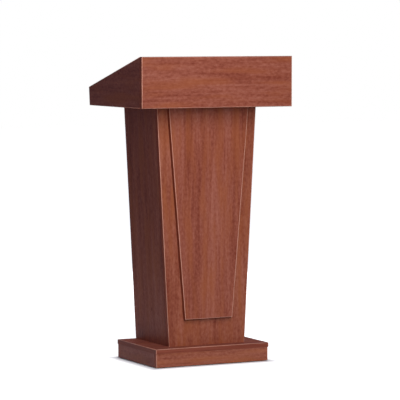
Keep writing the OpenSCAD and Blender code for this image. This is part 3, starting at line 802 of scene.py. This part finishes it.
# %% Helper: metal
def metal(name, dark, light, rough):
    """Bare or plated metal. Rough is the gloss of its best places, and others are duller."""
    finish, tree, shader, place = new_finish(name, {"Metallic": 1.0})
    cloud = ramp(tree, mottle(tree, place, 4, detail=3.0), [(0.3, dark), (0.7, light)])
    tree.links.new(cloud, shader.inputs["Base Color"])
    scratches = patches(tree, place, "z", across=0.6, along=8)
    gloss = ramp(tree, scratches, [(0.3, grey(rough)), (0.7, grey(rough + 0.15))])
    tree.links.new(gloss, shader.inputs["Roughness"])
    bump(tree, shader, scratches, strength=0.1, depth=0.03 * MM)
    return finish


# %% [markdown]
# Each peg has a pin with a rounded nose in the board, and a small plate with rounded corners
# under the shelf. The pin is turned, and the plate is a slab whose two free corners get a bevel.

# %% Shelf pegs
steel = metal("steel_zinc_plated", colour(178, 180, 182), colour(202, 203, 205), 0.28)
PIN_DEEP = 10 * MM
PLATE_T = 1.6 * MM
PLATE_CORNER = 3 * MM
PLATE_STEPS = 6
NOSE = 0.8 * MM


def peg(points):
    """A peg where the model has one: it lies along X, and its plate is at the inner end."""
    low, high = Vector(points.min(axis=0)), Vector(points.max(axis=0))
    way = 1 if low.x > 0 else -1
    inner, outer = (low.x, high.x) if way > 0 else (high.x, low.x)
    length = abs(outer - inner)
    radius = (high.z - low.z) / 2
    section = [(0, 0), (radius - NOSE, 0), (radius, NOSE), (radius, length - NOSE),
               (radius - NOSE, length), (0, length)]
    along_x = Matrix.Rotation(way * math.pi / 2, 4, "Y")
    middle = (low + high) / 2
    pin = turned(section, Matrix.Translation((inner, middle.y, middle.z)) @ along_x)
    wall = outer - way * PIN_DEEP
    plate = slab(level(rectangle(inner, low.y, wall, high.y), high.z - PLATE_T), (0, 0, PLATE_T))
    corners = [e for e in plate.edges if all(abs(v.co.x - inner) < CLOSE for v in e.verts)
               and abs(e.verts[0].co.z - e.verts[1].co.z) > PLATE_T / 2]
    bmesh.ops.bevel(plate, geom=corners, offset=PLATE_CORNER, affect="EDGES",
                    segments=PLATE_STEPS, profile=0.5, material=-1)
    return [pin, shade(plate)]


parts = [part for points in solids("shelf_pegs") for part in peg(points)]
join("shelf_pegs", "rounded", parts, [steel])

# %% [markdown]
# Under each corner block a glide of black nylon is nailed on. It is a ring with a rounded rim,
# and a counterbore that keeps the nail's head clear of the floor.

# %% Glides
nylon = moulded("nylon_black", colour(30, 29, 28), colour(46, 44, 42), sheen=0.4,
                mottle_size=5, haze_size=2, stipple_size=0.5, stipple_strength=0.25)
NAIL_HOLE = 1.35 * MM
COUNTERBORE = 3.1 * MM
COUNTERBORE_DEEP = 2 * MM
RIM_STEPS = 4


def glide(points):
    """A glide where the model has one."""
    low, high = Vector(points.min(axis=0)), Vector(points.max(axis=0))
    radius, thick = (high.x - low.x) / 2, high.z - low.z
    rim = thick / 2
    section = [(NAIL_HOLE, thick), (NAIL_HOLE, COUNTERBORE_DEEP),
               (COUNTERBORE, COUNTERBORE_DEEP), (COUNTERBORE, 0)]
    for step in range(RIM_STEPS + 1):
        turn = math.pi / 2 * step / RIM_STEPS
        section.append((radius - rim + rim * math.sin(turn), rim - rim * math.cos(turn)))
    section.append((radius, thick))
    middle = (low + high) / 2
    return turned(section, Matrix.Translation((middle.x, middle.y, low.z)), ring=True)


join("glides", "rounded", [glide(points) for points in solids("glides")], [nylon])

# %% [markdown]
# The screws, nails, dowels and cams keep their measured shapes, and so do the pine cleats and
# blocks. Pine and beech are bare wood: pale, with fine streaks and a dull surface.

# %% Finishes of the fixings
PINE = (colour(190, 146, 92), colour(226, 192, 140))
BEECH = (colour(196, 158, 112), colour(220, 184, 138))
CAST_ZINC = (colour(168, 170, 172), colour(186, 188, 190))


def bare_wood(name, grain, dark, light):
    """Wood as it comes from the plane or the lathe."""
    finish, tree, shader, place = new_finish(name, {"Specular IOR Level": 0.25})
    rings = patches(tree, place, grain, across=7, along=180, detail=1.0)
    fibres = patches(tree, place, grain, across=1.2, along=30, detail=3.0)
    tone = weigh(tree, [(rings, 0.9), (fibres, 0.5)])
    tree.links.new(ramp(tree, tone, [(0.3, dark), (0.7, light)]), shader.inputs["Base Color"])
    gloss = ramp(tree, fibres, [(0.3, grey(0.55)), (0.7, grey(0.72))])
    tree.links.new(gloss, shader.inputs["Roughness"])
    bump(tree, shader, fibres, strength=0.3, depth=0.1 * MM)
    return finish


dress(bare_wood("pine_planed_along_y", "y", *PINE), "left_reading_cleat", "right_reading_cleat")
dress(bare_wood("pine_planed_along_z", "z", *PINE), "base_blocks")
dress(bare_wood("beech_turned", "x", *BEECH), "desk_dowels", "column_dowels", "base_dowels")
dress(metal("zinc_cast", *CAST_ZINC, 0.42), "desk_cams", "column_cams")
dress(steel, "cleat_screws", "reading_board_screws", "desk_cam_bolts", "column_cam_bolts",
      "desk_screws", "raised_panel_screws", "base_block_screws", "column_screws",
      "glide_nails")

# %% [markdown]
# A tall soft lamp stands in front, a little to the left and above, as a studio's strip softbox.
# The sides get hardly any of it, and the rest of the light comes evenly from all round, so they
# stay dark but clear. The lamp is tall, so the desk's shadow on the column has a soft edge, and
# narrow, so the raised panel casts none beside it. Its power is chosen so that a front board
# renders at the colour that is written for it. A weaker lamp behind, to the right, clears the
# open back and the desk. It makes no highlights, so the front view keeps its dull base top.

# %% Lamps
LAMP_AWAY = 3.4


def soft_lamp(name, turn, up, aim, size, power):
    """A softbox that looks at the height aim. It stands turned to the right and up, in degrees."""
    data = bpy.data.lights.new(name, "AREA")
    data.shape = "RECTANGLE"
    data.size, data.size_y = size
    data.energy = power
    lamp = bpy.data.objects.new(name, data)
    turn, up = math.radians(turn), math.radians(up)
    way = Vector((math.sin(turn) * math.cos(up), -math.cos(turn) * math.cos(up), math.sin(up)))
    lamp.location = Vector((0, 0, aim)) + way * LAMP_AWAY
    lamp.rotation_euler = way.to_track_quat("Z", "Y").to_euler()
    bpy.context.scene.collection.objects.link(lamp)
    print(name, "at", [round(v, 2) for v in lamp.location])
    return lamp


soft_lamp("front_lamp", turn=-10, up=32, aim=0.4, size=(1.0, 3.0), power=87)
rear_lamp = soft_lamp("rear_lamp", turn=150, up=10, aim=0.6, size=(1.5, 1.5), power=50)
rear_lamp.visible_glossy = False

# %% [markdown]
# The world gives the even light, which is a little cool. The camera sees it white, and so does
# a shiny surface that mirrors the backdrop, the part of the world that lies behind the lectern.
# Other reflections see the same dim light as the boards get, or the lectern's dark sides would
# turn milky. A direction's share in the backdrop is told by its product with the view direction.

# %% World
EVEN_LIGHT = (0.135, 0.14, 0.205, 1.0)
WHITE = grey(1.0)
BACKDROP_EDGE, BACKDROP_FULL = 0.992, 0.998


def sums(tree, operation, first, second=0.0):
    """Arithmetic on outputs or numbers."""
    return put(tree, "ShaderNodeMath", {0: first, 1: second}, operation=operation).outputs[0]


def shown_white(tree, way):
    """1 for what the camera sees, and for the backdrop where it is mirrored or seen through."""
    path = put(tree, "ShaderNodeLightPath").outputs
    mirrored = sums(tree, "MAXIMUM", path["Is Glossy Ray"], path["Is Transmission Ray"])
    ahead = put(tree, "ShaderNodeVectorMath", {0: way, 1: view_direction},
                operation="DOT_PRODUCT").outputs["Value"]
    behind_lectern = threshold(tree, ahead, BACKDROP_EDGE, BACKDROP_FULL)
    backdrop = sums(tree, "MULTIPLY", mirrored, behind_lectern)
    return sums(tree, "MAXIMUM", path["Is Camera Ray"], backdrop)


world = bpy.data.worlds.new("studio")
bpy.context.scene.world = world
world.use_nodes = True
tree = world.node_tree
way = put(tree, "ShaderNodeTexCoord").outputs["Generated"]
tree.links.new(between(tree, shown_white(tree, way), EVEN_LIGHT, WHITE),
               tree.nodes["Background"].inputs["Color"])
print("world:", world.name, "with even light of", EVEN_LIGHT[:3])

# %% [markdown]
# The floor is a wide pale sheet, made from a grid of one square. It belongs to the picture and
# not to the lectern.

# %% Floor
FLOOR_HALF = 20.0

floor_bm = bmesh.new()
bmesh.ops.create_grid(floor_bm, x_segments=1, y_segments=1, size=FLOOR_HALF)
floor_mesh = bpy.data.meshes.new("floor")
floor_bm.to_mesh(floor_mesh)
floor_bm.free()
floor = bpy.data.objects.new("floor", floor_mesh)
bpy.context.scene.collection.objects.link(floor)
print("floor:", 2 * max(v.co.x for v in floor_mesh.vertices), "m square")

# %% [markdown]
# The camera sees the floor white, because a glow is added to it for the camera's rays and for
# those that mirror the backdrop, and for no others. The glow fades out under the base, where the
# floor's own shadow shows, and over a band round its foot, which is a painted shadow. The light
# that the floor throws back on the lectern is that of a pale, slightly cool sheet on a grey
# studio floor. The sheet fades into the grey from half a metre outwards. It lifts the foot of the
# column and leaves its top dark.

# %% Finish of the floor
GLOW = 0.90
# The glow is gone 5 mm inside the base's outline and full 60 mm outside it; the fade between
# paints a shadow round the foot.
PAINTED_SHADOW_INNER, PAINTED_SHADOW_OUTER = -5 * MM, 60 * MM
SHEET_IN, SHEET_OUT = 0.5, 1.2
COOL_SHEET = (0.78, 0.86, 0.90, 1.0)
STUDIO_GREY = grey(0.44)
SHOWN_GREY = grey(0.8)


def off_the_base(tree, place):
    """How far a point of the floor lies outside the base. Under the base it is less than zero."""
    flat = put(tree, "ShaderNodeSeparateXYZ", {0: place}).outputs
    middle_y = (rail_low.y + rail_high.y) / 2
    off_x = sums(tree, "SUBTRACT", sums(tree, "ABSOLUTE", flat["X"]), rail_high.x)
    off_y = sums(tree, "ABSOLUTE", sums(tree, "SUBTRACT", flat["Y"], middle_y))
    off_y = sums(tree, "SUBTRACT", off_y, rail_high.y - middle_y)
    return sums(tree, "MAXIMUM", off_x, off_y)


floor_finish = bpy.data.materials.new("floor_pale")
floor_finish.use_nodes = True
tree = floor_finish.node_tree
tree.nodes.remove(tree.nodes["Principled BSDF"])
place = put(tree, "ShaderNodeTexCoord").outputs["Object"]

# Round the foot of the base the glow fades: a painted shadow.
glow_with_painted_shadow = threshold(tree, off_the_base(tree, place), PAINTED_SHADOW_INNER, PAINTED_SHADOW_OUTER, top=GLOW)
glow = put(tree, "ShaderNodeEmission", {"Color": WHITE, "Strength": glow_with_painted_shadow})
pale = put(tree, "ShaderNodeBsdfDiffuse", {"Color": SHOWN_GREY})
shown = put(tree, "ShaderNodeAddShader", {0: pale.outputs[0], 1: glow.outputs[0]})

far = put(tree, "ShaderNodeVectorMath", {0: place}, operation="LENGTH").outputs["Value"]
sheet = between(tree, threshold(tree, far, SHEET_IN, SHEET_OUT), COOL_SHEET, STUDIO_GREY)
plain = put(tree, "ShaderNodeBsdfDiffuse", {"Color": sheet})

way = put(tree, "ShaderNodeVectorMath", {0: place}, operation="NORMALIZE").outputs[0]
mixed = put(tree, "ShaderNodeMixShader", {
    0: shown_white(tree, way), 1: plain.outputs[0], 2: shown.outputs[0],
})
tree.links.new(mixed.outputs[0], tree.nodes["Material Output"].inputs["Surface"])
floor_mesh.materials.append(floor_finish)
print("floor finish:", len(tree.nodes), "nodes")

# %% [markdown]
# The picture is shown without a film look, so that a colour comes out as it is written.

# %% Show colours as written
bpy.context.scene.view_settings.view_transform = "Standard"
